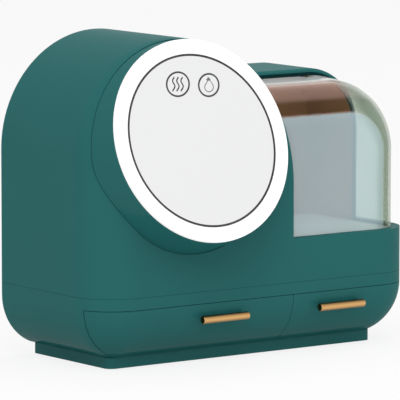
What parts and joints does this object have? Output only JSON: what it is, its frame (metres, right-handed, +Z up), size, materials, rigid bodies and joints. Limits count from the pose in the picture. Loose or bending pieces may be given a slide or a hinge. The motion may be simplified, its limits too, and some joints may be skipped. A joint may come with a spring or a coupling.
{
  "type": "makeup organizer with mirror",
  "caption": "Teal-green makeup organizer with a tilted round lit mirror, a compartment under a clear flip-up cover and gold-handled drawers.",
  "frame": {"origin": "middle of the footprint, on the table under the rubber pads", "axes": "+X along the width towards the covered compartment, +Y to the back, +Z up"},
  "size_m": [0.366, 0.2, 0.3],
  "materials": {
    "green_shell": "satin teal-green moulding",
    "white_ring": "white light-diffusing plastic",
    "dark_trim": "dark grey",
    "mirror": "silvered glass",
    "clear": "clear transparent plastic",
    "gold": "brushed gold-coloured metal",
    "brown_lining": "brown satin",
    "pale_floor": "off-white satin",
    "tray": "teal-green satin",
    "steel": "zinc-plated",
    "rubber": "matt black",
    "inner_white": "white moulding",
    "board": "circuit board",
    "cell": "sleeved cell",
    "slider": "slippery pale plastic"
  },
  "bodies": {
    "cabinet": {"base_plinth": "green_shell", "rubber_feet": "rubber", "drawer_housing": "green_shell", "runner_strips": "slider", "upper_shell": "green_shell", "back_cover": "green_shell", "back_cover_screws": "steel", "compartment_floor": "pale_floor", "compartment_lining": "brown_lining", "mirror_drum": "green_shell", "drum_screws": "steel", "led_diffuser": "white_ring", "mirror_trim": "dark_trim", "mirror_glass": "mirror", "demist_film": "dark_trim", "mirror_carrier": "inner_white", "led_board": "inner_white", "led_chips": "white_ring", "touch_board": "board", "control_board": "board", "charge_socket": "steel", "battery_holder": "inner_white", "battery_cells": "cell", "hinge_brackets": "green_shell", "hinge_pins": "steel"},
    "clear_cover": {"clear_cover": "clear"},
    "left_drawer": {"left_drawer_front": "green_shell", "left_drawer_tray": "tray", "left_handle": "gold", "left_handle_screws": "steel"},
    "right_drawer": {"right_drawer_front": "green_shell", "right_drawer_tray": "tray", "right_handle": "gold", "right_handle_screws": "steel"}
  },
  "joints": [
    {"name": "cover_hinge", "type": "hinge", "parent": "cabinet", "child": "clear_cover", "pos_m": [0.0835, 0.02, 0.246], "axis": [-1, 0, 0], "range_deg": [0, 85]},
    {"name": "left_drawer_slide", "type": "slide", "parent": "cabinet", "child": "left_drawer", "axis": [0, -1, 0], "range_m": [0, 0.085]},
    {"name": "right_drawer_slide", "type": "slide", "parent": "cabinet", "child": "right_drawer", "axis": [0, -1, 0], "range_m": [0, 0.085]}
  ]
}
